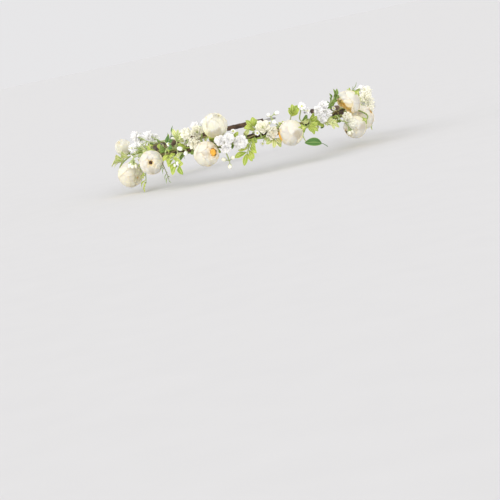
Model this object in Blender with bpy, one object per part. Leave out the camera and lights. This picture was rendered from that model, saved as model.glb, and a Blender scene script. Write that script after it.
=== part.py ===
"""A wired flower crown: a tape-wrapped wire band that goes round the head, two bendable tails with ribbon
eyes at the back, and ball-shaped blooms, small florets and leaf sprigs bound to the band by their stems.

Units are metres and degrees. The origin is the centre of the head opening, in the plane of the band.
+Z is up, -Y is the crown's front and +X is the wearer's left. An angle of 0 is the front of the band,
and angles grow towards the wearer's left.
"""

import math

import bmesh
import bpy
from mathutils import Matrix, Vector
from mathutils.geometry import interpolate_bezier

# Head opening: the space inside the band.
HEAD_WIDTH = 0.159
HEAD_DEPTH = 0.196

# Band: a core wire inside a wrap of floral tape.
CLEARANCE = 0.0003
CORE_WIRE_RADIUS = 0.0008
TAPE_THICKNESS = 0.0011
BAND_RADIUS = CORE_WIRE_RADIUS + CLEARANCE + TAPE_THICKNESS
BAND_HALF_WIDTH = HEAD_WIDTH / 2 + BAND_RADIUS
BAND_HALF_DEPTH = HEAD_DEPTH / 2 + BAND_RADIUS
BAND_STEP = 10.0

# Tails: the two bare ends of the band, which bend at the flex angle and end in an eye for a ribbon.
FLEX_ANGLE = 139.0
TAIL_END_ANGLE = 164.0
FLEX_GAP = 0.0014
EYE_RADIUS = 0.0035
EYE_TURN = 300.0
EYE_STEPS = 15
EYE_NECK = 0.0055

# Blooms: a shell of petals round a foam core, which is moulded on the end of the stem.
PETAL_THICKNESS = 0.0014
CORE_SPACE = 0.0012
NECK_RADIUS = 0.0009
CALYX_RADIUS = 0.0028
CALYX_HEIGHT = 0.0022
CALYX_SHOULDER = (0.45, 0.75)  # share of the calyx's height, share of its radius
NECK_START = 0.8  # where the neck leaves the calyx, as a share of the clearance
CORE_RINGS = (-0.8, -0.45, 0.0, 0.45, 0.75, 0.93)  # heights as shares of the core's radius
PETAL_SEGMENTS = 15
PETAL_RINGS = 6
LINING_RINGS = 3
PETAL_LOBES = 5
LOBE_DEPTH = 0.05

# Stems: each turns round the band, then bends towards what it carries.
STEM_RADIUS = 0.0006
STEM_PULL = 0.4  # how far the bend follows each end's direction, as a share of its length
WRAP_TURN = 270.0
WRAP_STEP = 45.0
WRAP_LENGTH = 0.003

# Florets: heads on stalks that leave the stem at its fork. Shares of the head's radius.
STALK_RADIUS = 0.8 * STEM_RADIUS
FORK_SPREADS = 0.9  # how far the fork lies behind the heads: shares of their spread and radius
FORK_RADII = 0.5
HEAD_LEAN = 0.55
STAR_THICKNESS = 0.0012
STAR_NOTCH = 0.72
STAR_UNDERSIDE = -0.35
STAR_RIM = 0.1
STAR_TOP = 0.3
BUD_STRETCH = 1.7
BUD_SIDES = 6
BUD_RINGS = (-0.6, 0.0, 0.6)

# Leaves: each is widest at its middle. The sections are shares of its length and of its width.
LEAF_THICKNESS = 0.0009
LEAF_EDGE_THICKNESS = 0.55
LEAF_ARCH = 0.12
LEAF_SECTIONS = ((0.18, 0.6), (0.5, 1.0), (0.8, 0.65))
LEAF_UPTURN = 0.4
LONE_LEAF_RUN = 22  # a leaf without pairs below it lies nearly level: it drops this little
LONE_LEAF_DROP = 6.5  # over this run along the band, both in millimetres
TIP_LEAF_REACH = 0.9  # share of the tip leaf's length that lies past its stem
SIDE_LEAF_DEPTH = 0.4  # how deep a side leaf starts inside the stem, in stem radii
SIDE_LEAF_LENGTH = 0.75
SIDE_LEAF_WIDTH = 0.85
SIDE_LEAF_SPREAD = 1.1
SIDE_LEAF_LIFT = 0.25

# Points closer than this are one point.
WELD_DISTANCE = 1e-7

# Colours as red, green, blue, then roughness and metallic value.
FINISHES = {
    "core_wire": ((0.42, 0.43, 0.44), 0.4, 1.0),
    "floral_tape": ((0.17, 0.11, 0.05), 0.85, 0.0),
    "ivory_petal": ((0.93, 0.88, 0.78), 0.6, 0.0),
    "bloom_stem": ((0.62, 0.55, 0.22), 0.7, 0.0),
    "white_floret": ((0.93, 0.94, 0.95), 0.6, 0.0),
    "pale_floret": ((0.82, 0.86, 0.66), 0.6, 0.0),
    "green_leaf": ((0.36, 0.52, 0.12), 0.5, 0.0),
    "pale_leaf": ((0.68, 0.76, 0.45), 0.5, 0.0),
    "dark_leaf": ((0.07, 0.2, 0.07), 0.5, 0.0),
}

# Everything that is bound to the band belongs to a cluster, which has its own angle on the band. Distances
# along the band are in millimetres from there, towards the wearer's left, so a cluster keeps its spacing when
# the band's size changes. A place is millimetres along the band, out from its centreline and up.
CLUSTERS = {
    "right_rear": -124,
    "right_side": -90,
    "right_front": -52,
    "front_right": -16,
    "front": 8,
    "front_left": 30,
    "left_front": 50,
    "left_side": 84,
    "left_rear": 117,
}

# name, cluster, bound at, centre, radius in millimetres, opening half angle, faces (angle, elevation)
BLOOMS = [
    ("bloom_01", "right_rear", 0, (10, 12.5, -2), 9.5, 30, (-100, 20)),
    ("bloom_02", "right_front", -36, (-26, 18, 8), 6.5, 26, (-10, 45)),
    ("bloom_03", "right_front", -14, (0, 17, -13), 10, 20, (60, -20)),
    ("bloom_04", "right_front", 20, (35, 11, -5), 9.3, 16, (20, 4)),
    ("bloom_05", "front", -10, (-6, 12, -5), 9.6, 20, (62, 3)),
    ("bloom_06", "front", -2, (3, 9.5, 14.5), 9.5, 24, (76, 52)),
    ("bloom_07", "left_front", 9.5, (-12, 13.9, -3), 9.8, 34, (-66, -8)),
    ("bloom_08", "left_side", 10, (-6, 12.5, 7.5), 9.8, 56, (-52, -34)),
    ("bloom_09", "left_side", 21, (12, 14, -7), 9.6, 22, (88, 22)),
    ("bloom_10", "left_side", 4, (-6, 14, -12), 9, 24, (-52, -20)),
    ("bloom_11", "left_rear", 20, (8, 12.5, -1), 9.5, 28, (110, 20)),
]

# name, finish, cluster, bound at, middle, heads, head radius and spread in millimetres, form
FLORETS = [
    ("floret_01", "white_floret", "right_rear", -15, (-10, 10, 5), 3, 4, 5.5, "star"),
    ("floret_02", "white_floret", "right_side", -24, (-14, 13, 4), 4, 4.2, 6, "star"),
    ("floret_03", "white_floret", "right_side", 0, (10, 12, 7), 4, 4.2, 6, "star"),
    ("floret_04", "white_floret", "right_front", -4, (0, 12, 5), 3, 3.4, 5, "star"),
    ("floret_05", "pale_floret", "front", -18, (-14, 8, 10), 3, 5, 4, "star"),
    ("floret_06", "white_floret", "front_right", 9, (10, 8.5, 0), 2, 2.6, 3, "star"),
    ("floret_07", "white_floret", "front", 11, (8, 15, 1), 3, 3.7, 4, "star"),
    ("floret_08", "white_floret", "front_left", -12, (-15, 8, -2), 1, 5, 0, "star"),
    ("floret_09", "pale_floret", "front_left", 8, (5, 7, 3), 2, 4.2, 3.6, "star"),
    ("floret_10", "white_floret", "left_front", 6, (5, 10, 12), 2, 3.4, 3, "star"),
    ("floret_11", "white_floret", "left_side", -30, (-36, 9, 6), 4, 3.6, 4.6, "star"),
    ("floret_12", "pale_floret", "left_side", -14, (-19, 18, -5), 2, 4.2, 3.4, "star"),
    ("floret_13", "pale_floret", "left_rear", -20, (-22, 15, 5), 4, 4.4, 6.5, "star"),
    ("floret_14", "white_floret", "left_rear", 0, (-5, 12, 9), 3, 4, 5.5, "star"),
    ("bud_spray_01", "white_floret", "left_front", -14, (-20, 6.5, 11.5), 3, 1.5, 4, "bud"),
    ("bud_spray_02", "pale_floret", "front", 4, (7, 9, -14), 3, 1.5, 4, "bud"),
]

# name, finish, cluster, bound at, tip, leaf pairs along the stem, leaf length and width in millimetres
SPRIGS = [
    ("leaf_sprig_01", "green_leaf", "right_rear", 18, (30, 12, -12), 2, 10, 4.5),
    ("leaf_sprig_02", "pale_leaf", "right_front", -27, (-14, 29, -4), 1, 11, 5.5),
    ("leaf_sprig_03", "green_leaf", "right_front", 8, (13, 12, -28), 2, 8, 3),
    ("leaf_sprig_04", "dark_leaf", "front_right", -11, (2, 7, 9.5), 1, 9, 4),
    ("leaf_sprig_05", "pale_leaf", "front_right", 2, (10, 8.3, 16), 2, 8, 3.6),
    ("leaf_sprig_06", "green_leaf", "front_right", -6, (6, 9, -17), 2, 9, 4.4),
    ("leaf_sprig_07", "green_leaf", "front_left", 0, (-8, 7, 13), 2, 8, 4),
    ("leaf_sprig_08", "green_leaf", "front_left", -6, (-16, 9, -19), 3, 10, 4),
    ("leaf_sprig_09", "pale_leaf", "front_left", 13, (7, 8, -11), 1, 8, 4),
    ("leaf_sprig_10", "dark_leaf", "left_front", 0, (14, 14, -18), 0, 17, 6),
    ("leaf_sprig_11", "green_leaf", "left_front", -4.5, (-3.5, 8, 17), 1, 8, 5),
    ("leaf_sprig_12", "green_leaf", "left_front", 4, (13, 10, -7), 1, 8, 4),
    ("leaf_sprig_13", "pale_leaf", "left_side", -38, (-25, 13, -8), 2, 8, 4.4),
    ("leaf_sprig_14", "green_leaf", "left_side", -22, (-12, 9, 20), 2, 7, 3.4),
    ("leaf_sprig_15", "green_leaf", "left_side", 30, (26, 16, -19), 2, 8, 4),
    ("leaf_sprig_16", "green_leaf", "left_rear", 27, (33, 10, 13), 2, 9, 4.2),
]

MM = 0.001
Z_AXIS = Vector((0, 0, 1))


def beside_band(angle, out=0.0, up=0.0):
    """The point at this angle, this far outside the band's centreline and above it."""
    turn = math.radians(angle)
    return Vector(((BAND_HALF_WIDTH + out) * math.sin(turn), -(BAND_HALF_DEPTH + out) * math.cos(turn), up))


def band_tangent(angle):
    turn = math.radians(angle)
    return Vector((BAND_HALF_WIDTH * math.cos(turn), BAND_HALF_DEPTH * math.sin(turn), 0)).normalized()


def outward(angle):
    return band_tangent(angle).cross(Z_AXIS)


def facing(angle, elevation):
    turn, lift = math.radians(angle), math.radians(elevation)
    return Vector((math.sin(turn) * math.cos(lift), -math.cos(turn) * math.cos(lift), math.sin(lift)))


def angle_step(length, angle):
    """How many degrees of the band this length covers at this angle."""
    turn = math.radians(angle)
    run = math.hypot(BAND_HALF_WIDTH * math.cos(turn), BAND_HALF_DEPTH * math.sin(turn))
    return math.degrees(length / run)


def station(cluster, along):
    """The angle that lies this many millimetres along the band from the cluster's own angle."""
    return CLUSTERS[cluster] + angle_step(along * MM, CLUSTERS[cluster])


def placed(cluster, place):
    along, out, up = place
    return beside_band(station(cluster, along), out * MM, up * MM)


def angles_between(start, end, step):
    count = max(1, round(abs(end - start) / step))
    return [start + (end - start) * i / count for i in range(count + 1)]


def paint(obj, finish):
    """Gives the object its own material in this finish."""
    colour, roughness, metallic = FINISHES[finish]
    material = bpy.data.materials.new(obj.name)
    material.use_nodes = True
    shader = material.node_tree.nodes["Principled BSDF"]
    shader.inputs["Base Color"].default_value = (*colour, 1)
    shader.inputs["Roughness"].default_value = roughness
    shader.inputs["Metallic"].default_value = metallic
    obj.data.materials.clear()
    obj.data.materials.append(material)


def tube(name, points, radii, bevel_resolution, caps=True):
    """A round bar along the points, with its own radius at each."""
    curve = bpy.data.curves.new(name, "CURVE")
    curve.dimensions = "3D"
    curve.bevel_depth = 1.0
    curve.bevel_resolution = bevel_resolution
    curve.use_fill_caps = caps
    spline = curve.splines.new("POLY")
    spline.points.add(len(points) - 1)
    for spot, point, radius in zip(spline.points, points, radii):
        spot.co = (*point, 1)
        spot.radius = radius
    spline.use_smooth = True
    obj = bpy.data.objects.new(name, curve)
    bpy.context.scene.collection.objects.link(obj)
    return obj


def as_mesh(obj):
    """Turns an object into a plain mesh object of its evaluated shape, with its points welded."""
    bpy.context.view_layer.update()
    evaluated = obj.evaluated_get(bpy.context.evaluated_depsgraph_get())
    mesh = bpy.data.meshes.new_from_object(evaluated)
    mesh.transform(obj.matrix_world)
    shape = bmesh.new()
    shape.from_mesh(mesh)
    bmesh.ops.remove_doubles(shape, verts=shape.verts, dist=WELD_DISTANCE)
    bmesh.ops.recalc_face_normals(shape, faces=shape.faces)
    shape.to_mesh(mesh)
    shape.free()
    name = obj.name
    bpy.data.objects.remove(obj)
    solid = bpy.data.objects.new(name, mesh)
    bpy.context.scene.collection.objects.link(solid)
    return solid


def joined(name, parts):
    """One solid from parts that overlap."""
    base = as_mesh(parts[0])
    tools = [as_mesh(part) for part in parts[1:]]
    for tool in tools:
        union = base.modifiers.new("join", "BOOLEAN")
        union.operation = "UNION"
        union.solver = "MANIFOLD"
        union.object = tool
    base = as_mesh(base)
    for tool in tools:
        bpy.data.objects.remove(tool)
    base.name = name
    return base


def solid_from_rings(name, rings, start, end):
    """A closed mesh object from rings of points, with a point at each end."""
    shape = bmesh.new()
    loops = [[shape.verts.new(point) for point in ring] for ring in rings]
    tips = [shape.verts.new(start), shape.verts.new(end)]
    count = len(loops[0])
    for i in range(count):
        j = (i + 1) % count
        shape.faces.new((tips[0], loops[0][j], loops[0][i]))
        shape.faces.new((tips[1], loops[-1][i], loops[-1][j]))
        for near, far in zip(loops, loops[1:]):
            shape.faces.new((near[i], near[j], far[j], far[i]))
    bmesh.ops.recalc_face_normals(shape, faces=shape.faces)
    mesh = bpy.data.meshes.new(name)
    shape.to_mesh(mesh)
    shape.free()
    obj = bpy.data.objects.new(name, mesh)
    bpy.context.scene.collection.objects.link(obj)
    return obj


def frame_along(direction, up):
    """A rotation whose Y is the direction and whose Z leans towards up."""
    along = direction.normalized()
    side = along.cross(up).normalized()
    return Matrix((side, along, side.cross(along))).transposed()


def leaf(name, base, direction, face, length, width):
    """A blade with a raised midrib, wide near its middle and pointed at its tip."""
    turn = frame_along(direction, face)
    rings = []
    for share, spread in LEAF_SECTIONS:
        arch = LEAF_ARCH * length * math.sin(math.pi * share)
        half = spread * width / 2
        thick = LEAF_THICKNESS * (LEAF_EDGE_THICKNESS + (1 - LEAF_EDGE_THICKNESS) * spread) / 2
        section = ((-half, 0.0), (0.0, thick), (half, 0.0), (0.0, -thick))
        rings.append([base + turn @ Vector((x, share * length, arch + z)) for x, z in section])
    return solid_from_rings(name, rings, base, base + turn @ Vector((0, length, 0)))


def star_head(name, centre, direction, radius):
    """A small five-petalled flower head: a shallow dish with a notched rim."""
    turn = frame_along(direction.orthogonal(), direction)
    rim = []
    for i in range(2 * PETAL_LOBES):
        reach = radius * (1.0 if i % 2 == 0 else STAR_NOTCH)
        angle = math.pi * i / PETAL_LOBES
        rim.append((reach * math.cos(angle), reach * math.sin(angle)))
    rings = [
        [centre + turn @ Vector((x, y, STAR_RIM * radius)) for x, y in rim],
        [centre + turn @ Vector((x, y, STAR_RIM * radius + STAR_THICKNESS)) for x, y in rim],
    ]
    under = centre + turn @ Vector((0, 0, STAR_UNDERSIDE * radius))
    top = centre + turn @ Vector((0, 0, STAR_TOP * radius + STAR_THICKNESS))
    return solid_from_rings(name, rings, under, top)


def bud_head(name, centre, direction, radius):
    """A closed bud, longer than it is wide."""
    turn = frame_along(direction.orthogonal(), direction)
    length = BUD_STRETCH * radius
    rings = []
    ring = [math.tau * i / BUD_SIDES for i in range(BUD_SIDES)]
    for share in BUD_RINGS:
        reach = radius * math.sqrt(1 - share * share)
        rings.append(
            [centre + turn @ Vector((reach * math.cos(a), reach * math.sin(a), share * length)) for a in ring]
        )
    half = turn @ Vector((0, 0, length))
    return solid_from_rings(name, rings, centre - half, centre + half)


def wrap(bound_at, towards):
    """The stem's turn round the band, which ends on the side that faces where the stem goes."""
    reach = towards - beside_band(bound_at)
    side = math.degrees(math.atan2(reach.z, reach.dot(outward(bound_at))))
    away = (BAND_RADIUS + CLEARANCE + STEM_RADIUS) / math.cos(math.radians(WRAP_STEP / 2))
    way = 1 if reach.dot(band_tangent(bound_at)) > 0 else -1
    spots = []
    for turn in angles_between(WRAP_TURN, 0, WRAP_STEP):
        angle = math.radians(side - turn)
        along = bound_at - way * angle_step(WRAP_LENGTH * turn / WRAP_TURN, bound_at)
        spots.append(beside_band(along, away * math.cos(angle), away * math.sin(angle)))
    return spots


def stem_path(bound_at, end, end_direction, steps=5):
    """Round the band, then in one smooth bend to the end."""
    spots = wrap(bound_at, end)
    leaving = (spots[-1] - spots[-2]).normalized()
    pull = STEM_PULL * (end - spots[-1]).length
    bend = interpolate_bezier(spots[-1], spots[-1] + leaving * pull, end - end_direction * pull, end, steps)
    return spots[:-1] + bend


def band_section(name, start, end, radius, bevel_resolution, finish, hollow=False):
    """A stretch of the band: a solid bar or, when hollow, a sleeve as thick as the tape."""
    points = [beside_band(a) for a in angles_between(start, end, BAND_STEP)]
    obj = tube(name, points, [radius] * len(points), bevel_resolution, caps=not hollow)
    if hollow:
        wall = obj.modifiers.new("tape", "SOLIDIFY")
        wall.thickness = TAPE_THICKNESS
        wall.offset = -1
    paint(obj, finish)
    return obj


def make_front_band():
    edge = FLEX_ANGLE - angle_step(FLEX_GAP / 2, FLEX_ANGLE)
    band_section("core_wire_front", -edge, edge, CORE_WIRE_RADIUS, 1, "core_wire")
    band_section("tape_wrap_front", -edge, edge, BAND_RADIUS, 2, "floral_tape", hollow=True)


def make_tail(side_name, side):
    """One bare end of the band: its tape, and its wire bent round into an eye that lies flat."""
    edge = FLEX_ANGLE + angle_step(FLEX_GAP / 2, FLEX_ANGLE)
    band_section(
        f"tape_wrap_{side_name}_tail", side * edge, side * TAIL_END_ANGLE, BAND_RADIUS, 2, "floral_tape", True
    )
    neck_end = TAIL_END_ANGLE + angle_step(EYE_NECK, TAIL_END_ANGLE)
    points = [beside_band(side * a) for a in angles_between(edge, TAIL_END_ANGLE, BAND_STEP)]
    points.append(beside_band(side * neck_end))
    along = side * band_tangent(side * neck_end)
    out = outward(side * neck_end)
    bend_radius = EYE_RADIUS + CORE_WIRE_RADIUS
    middle = points[-1] + out * bend_radius
    for step in range(1, EYE_STEPS + 1):
        turn = math.radians(EYE_TURN * step / EYE_STEPS)
        points.append(middle + bend_radius * (along * math.sin(turn) - out * math.cos(turn)))
    wire = tube(f"core_wire_{side_name}_tail", points, [CORE_WIRE_RADIUS] * len(points), 1)
    paint(wire, "core_wire")


def petal_shell(name, centre, axis, radius, opening):
    """The petals of one bloom as a ball-shaped shell, open at the top, with a hole for the neck below."""
    inner = radius - PETAL_THICKNESS
    hole = NECK_RADIUS + CLEARANCE
    start, end = math.asin(hole / radius), math.pi - math.radians(opening)
    start_inner = math.asin(hole / inner)
    profile = []
    for i in range(PETAL_RINGS + 1):
        angle = start + (end - start) * i / PETAL_RINGS
        profile.append((radius * math.sin(angle), -radius * math.cos(angle)))
    for i in range(LINING_RINGS + 1):
        angle = end + (start_inner - end) * i / LINING_RINGS
        profile.append((inner * math.sin(angle), -inner * math.cos(angle)))
    shape = bmesh.new()
    verts = [shape.verts.new((x, 0, z)) for x, z in profile]
    edges = [shape.edges.new((verts[i - 1], verts[i])) for i in range(len(verts))]
    bmesh.ops.spin(
        shape, geom=verts + edges, cent=(0, 0, 0), axis=(0, 0, 1), angle=math.tau, steps=PETAL_SEGMENTS
    )
    bmesh.ops.remove_doubles(shape, verts=shape.verts, dist=WELD_DISTANCE)
    for vert in shape.verts:
        height = max(0.0, vert.co.z / radius)
        lobe = math.cos(PETAL_LOBES * math.atan2(vert.co.y, vert.co.x))
        vert.co.z += LOBE_DEPTH * radius * lobe * height
    bmesh.ops.recalc_face_normals(shape, faces=shape.faces)
    mesh = bpy.data.meshes.new(name)
    shape.to_mesh(mesh)
    shape.free()
    mesh.shade_smooth()
    obj = bpy.data.objects.new(name, mesh)
    bpy.context.scene.collection.objects.link(obj)
    obj.matrix_world = Matrix.Translation(centre) @ axis.to_track_quat("Z", "Y").to_matrix().to_4x4()
    paint(obj, "ivory_petal")
    return obj


def make_bloom(name, cluster, bound, place, radius, opening, faces):
    """One bloom: its shell of petals, and its stem with the calyx and the foam core."""
    bound_at, centre = station(cluster, bound), placed(cluster, place)
    axis, radius = facing(*faces), radius * MM
    petal_shell(f"{name}_petals", centre, axis, radius, opening)
    core = radius - PETAL_THICKNESS - CORE_SPACE
    calyx_base = -(radius + CLEARANCE + CALYX_HEIGHT)
    points = stem_path(bound_at, centre + axis * calyx_base, axis)
    radii = [STEM_RADIUS] * len(points)
    shoulder_height, shoulder_width = CALYX_SHOULDER
    core_low = -math.sqrt(core * core - NECK_RADIUS * NECK_RADIUS)
    outline = [
        (calyx_base + shoulder_height * CALYX_HEIGHT, shoulder_width * CALYX_RADIUS),
        (-(radius + CLEARANCE), CALYX_RADIUS),
        (-(radius + NECK_START * CLEARANCE), NECK_RADIUS),
        (core_low, NECK_RADIUS),
    ]
    for share in CORE_RINGS:
        outline.append((share * core, core * math.sqrt(1 - share * share)))
    for height, width in outline:
        points.append(centre + axis * height)
        radii.append(width)
    stem = tube(f"{name}_stem", points, radii, 1)
    paint(stem, "bloom_stem")


def make_floret(name, finish, cluster, bound, place, heads, head_radius, spread, form):
    """A spray of small flower heads on short stalks that leave one stem."""
    bound_at, middle = station(cluster, bound), placed(cluster, place)
    face = outward(station(cluster, place[0]))
    head_radius, spread = head_radius * MM, spread * MM
    fork = middle - face * (FORK_SPREADS * spread + FORK_RADII * head_radius)
    path = stem_path(bound_at, fork, (fork - beside_band(bound_at)).normalized(), 4)
    path.append(fork + (path[-1] - path[-2]).normalized() * STEM_RADIUS)
    parts = [tube(name, path, [STEM_RADIUS] * len(path), 0)]
    make_head = star_head if form == "star" else bud_head
    side = face.cross(Z_AXIS)
    for i in range(heads):
        turn = math.tau * (i + 0.25) / heads
        lean = side * math.cos(turn) + Z_AXIS * math.sin(turn)
        centre = middle + lean * spread
        direction = (face + HEAD_LEAN * lean).normalized() if heads > 1 else face
        parts.append(make_head(f"{name}_head", centre, direction, head_radius))
        stalk = [fork, centre]
        parts.append(tube(f"{name}_stalk", stalk, [STALK_RADIUS] * len(stalk), 0))
    paint(joined(name, parts), finish)


def make_sprig(name, finish, cluster, bound, tip_place, pairs, length, width):
    """A stem with a leaf at its tip and pairs of leaves along it."""
    bound_at, tip = station(cluster, bound), placed(cluster, tip_place)
    face = (outward(station(cluster, tip_place[0])) + LEAF_UPTURN * Z_AXIS).normalized()
    length, width = length * MM, width * MM
    along, out, up = tip_place
    lead = placed(cluster, (along - LONE_LEAF_RUN, out, up + LONE_LEAF_DROP))
    reach = (tip - (beside_band(bound_at) if pairs else lead)).normalized()
    end = tip - reach * TIP_LEAF_REACH * length
    path = stem_path(bound_at, end, reach)
    parts = [tube(name, path, [STEM_RADIUS] * len(path), 0)]
    parts.append(leaf(f"{name}_tip", end - reach * 2 * STEM_RADIUS, reach, face, length, width))
    side = reach.cross(face).normalized()
    for pair in range(pairs):
        base = path[-2 - pair]
        for way in (-1, 1):
            direction = (reach + way * SIDE_LEAF_SPREAD * side + SIDE_LEAF_LIFT * face).normalized()
            root = base - direction * SIDE_LEAF_DEPTH * STEM_RADIUS
            size = (SIDE_LEAF_LENGTH * length, SIDE_LEAF_WIDTH * width)
            parts.append(leaf(f"{name}_side", root, direction, face, *size))
    paint(joined(name, parts), finish)


def main():
    for obj in list(bpy.data.objects):
        bpy.data.objects.remove(obj)
    make_front_band()
    make_tail("left", 1)
    make_tail("right", -1)
    for spec in BLOOMS:
        make_bloom(*spec)
    for spec in FLORETS:
        make_floret(*spec)
    for spec in SPRIGS:
        make_sprig(*spec)


main()
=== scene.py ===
"""The looks of the flower crown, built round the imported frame.

Lengths are in metres and angles in degrees unless a name says otherwise. The frame is the CAD's own: the
origin is the centre of the head opening in the plane of the band, +Z is up, -Y is the crown's front and +X
is the wearer's left. An angle of 0 is the band's front, and angles grow towards the wearer's left.
"""

import math
from functools import partial

import bpy
import numpy as np
from mathutils import Matrix, Vector
from mathutils.geometry import interpolate_bezier


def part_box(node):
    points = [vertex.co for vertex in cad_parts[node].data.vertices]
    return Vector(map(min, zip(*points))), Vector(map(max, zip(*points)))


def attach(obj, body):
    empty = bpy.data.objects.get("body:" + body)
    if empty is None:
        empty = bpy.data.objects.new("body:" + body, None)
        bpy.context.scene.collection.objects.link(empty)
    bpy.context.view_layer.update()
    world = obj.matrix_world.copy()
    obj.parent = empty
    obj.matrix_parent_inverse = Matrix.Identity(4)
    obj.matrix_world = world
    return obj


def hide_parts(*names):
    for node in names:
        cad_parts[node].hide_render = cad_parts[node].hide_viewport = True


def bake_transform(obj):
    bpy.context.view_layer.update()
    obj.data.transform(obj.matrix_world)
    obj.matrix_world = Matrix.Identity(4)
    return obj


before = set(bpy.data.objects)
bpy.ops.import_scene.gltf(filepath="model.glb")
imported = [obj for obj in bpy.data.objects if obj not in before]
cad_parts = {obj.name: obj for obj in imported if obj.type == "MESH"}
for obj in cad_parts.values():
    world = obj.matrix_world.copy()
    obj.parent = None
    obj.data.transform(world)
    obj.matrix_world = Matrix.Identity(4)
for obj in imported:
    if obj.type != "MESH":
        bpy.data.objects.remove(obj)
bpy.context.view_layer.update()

MM = 0.001
Z_AXIS = Vector((0, 0, 1))

# The band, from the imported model.
BAND_LOW, BAND_HIGH = (Vector(corner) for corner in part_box("tape_wrap_front"))
BAND_RADIUS = BAND_HIGH.z
BAND_HALF_WIDTH = BAND_HIGH.x - BAND_RADIUS
BAND_HALF_DEPTH = -BAND_LOW.y - BAND_RADIUS

# Sizes and shares that part.py names too.
CLEARANCE = 0.0003
CORE_WIRE_RADIUS = 0.0008
TAIL_END_ANGLE = 164.0
EYE_RADIUS = 0.0035
EYE_TURN = 300.0
EYE_NECK = 0.0055
STEM_RADIUS = 0.0006
WRAP_TURN = 270.0
WRAP_LENGTH = 0.003
CALYX_HEIGHT = 0.0022
STEM_PULL = 0.4
FORK_SPREADS = 0.9
FORK_RADII = 0.5
HEAD_LEAN = 0.55
LEAF_UPTURN = 0.4
TIP_LEAF_REACH = 0.9
LONE_LEAF_RUN = 22
LONE_LEAF_DROP = 6.5

CLUSTERS = {
    "right_rear": -124,
    "right_side": -90,
    "right_front": -52,
    "front_right": -16,
    "front": 8,
    "front_left": 30,
    "left_front": 50,
    "left_side": 84,
    "left_rear": 117,
}

# name, cluster, bound at, centre, radius in millimetres, opening half angle, faces (angle, elevation),
# kind of bloom, petal finish, centre finish
BLOOMS = [
    ("bloom_01", "right_rear", 0, (10, 12.5, -2), 9.5, 14, (-100, 20), "ball", "ivory", "golden"),
    ("bloom_02", "right_front", -36, (-26, 18, 8), 6.5, 4, (-10, 45), "bud", "lemon", "golden"),
    ("bloom_03", "right_front", -14, (0, 17, -13), 10, 3, (60, -20), "ball", "peach", "golden"),
    ("bloom_04", "right_front", 20, (35, 11, -5), 9.3, 9, (20, 4), "ball", "ivory", "dark"),
    ("bloom_05", "front", -10, (-6, 12, -5), 9.6, 19, (62, 3), "ball", "peach", "golden"),
    ("bloom_06", "front", -2, (3, 9.5, 14.5), 9.5, 3, (76, 52), "ball", "lemon", "golden"),
    ("bloom_07", "left_front", 9.5, (-12, 13.9, -3), 9.8, 26, (-66, -8), "ball", "ivory", "golden"),
    ("bloom_08", "left_side", 10, (-6, 12.5, 7.5), 9.8, 58, (-52, -34), "cup", "ivory", "golden"),
    ("bloom_09", "left_side", 21, (12, 14, -7), 9.6, 8, (88, 22), "ball", "ivory", "golden"),
    ("bloom_10", "left_side", 4, (-6, 14, -12), 9, 12, (-52, -20), "ball", "ivory", "dark"),
    ("bloom_11", "left_rear", 20, (8, 12.5, -1), 9.5, 12, (110, 20), "ball", "peach", "golden"),
]

# name, finish, cluster, bound at, middle, heads, head radius and spread in millimetres, form
FLORETS = [
    ("floret_01", "white", "right_rear", -15, (-10, 10, 5), 3, 4, 5.5, "ruffled"),
    ("floret_02", "white", "right_side", -24, (-14, 13, 4), 4, 4.2, 6, "ruffled"),
    ("floret_03", "white", "right_side", 0, (10, 12, 7), 4, 4.2, 6, "ruffled"),
    ("floret_04", "white", "right_front", -4, (0, 12, 5), 3, 3.4, 5, "star"),
    ("floret_05", "pale", "front", -18, (-14, 8, 10), 3, 5, 4, "fan"),
    ("floret_06", "white", "front_right", 9, (10, 8.5, 0), 2, 2.6, 3, "drop"),
    ("floret_07", "white", "front", 11, (8, 15, 1), 3, 3.7, 4, "ruffled"),
    ("floret_08", "white", "front_left", -12, (-15, 8, -2), 1, 5, 0, "ruffled"),
    ("floret_09", "pale", "front_left", 8, (5, 7, 3), 2, 4.2, 3.6, "bell"),
    ("floret_10", "white", "left_front", 6, (5, 10, 12), 2, 3.4, 3, "star"),
    ("floret_11", "white", "left_side", -30, (-36, 9, 6), 4, 3.6, 4.6, "ruffled"),
    ("floret_12", "pale", "left_side", -14, (-19, 18, -5), 2, 4.2, 3.4, "fan"),
    ("floret_13", "pale", "left_rear", -20, (-22, 15, 5), 4, 4.4, 6.5, "ruffled"),
    ("floret_14", "white", "left_rear", 0, (-5, 12, 9), 3, 4, 5.5, "ruffled"),
    ("bud_spray_01", "white", "left_front", -14, (-20, 6.5, 11.5), 3, 1.5, 4, "bud"),
    ("bud_spray_02", "pale", "front", 4, (7, 9, -14), 3, 1.5, 4, "bud"),
]

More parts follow.
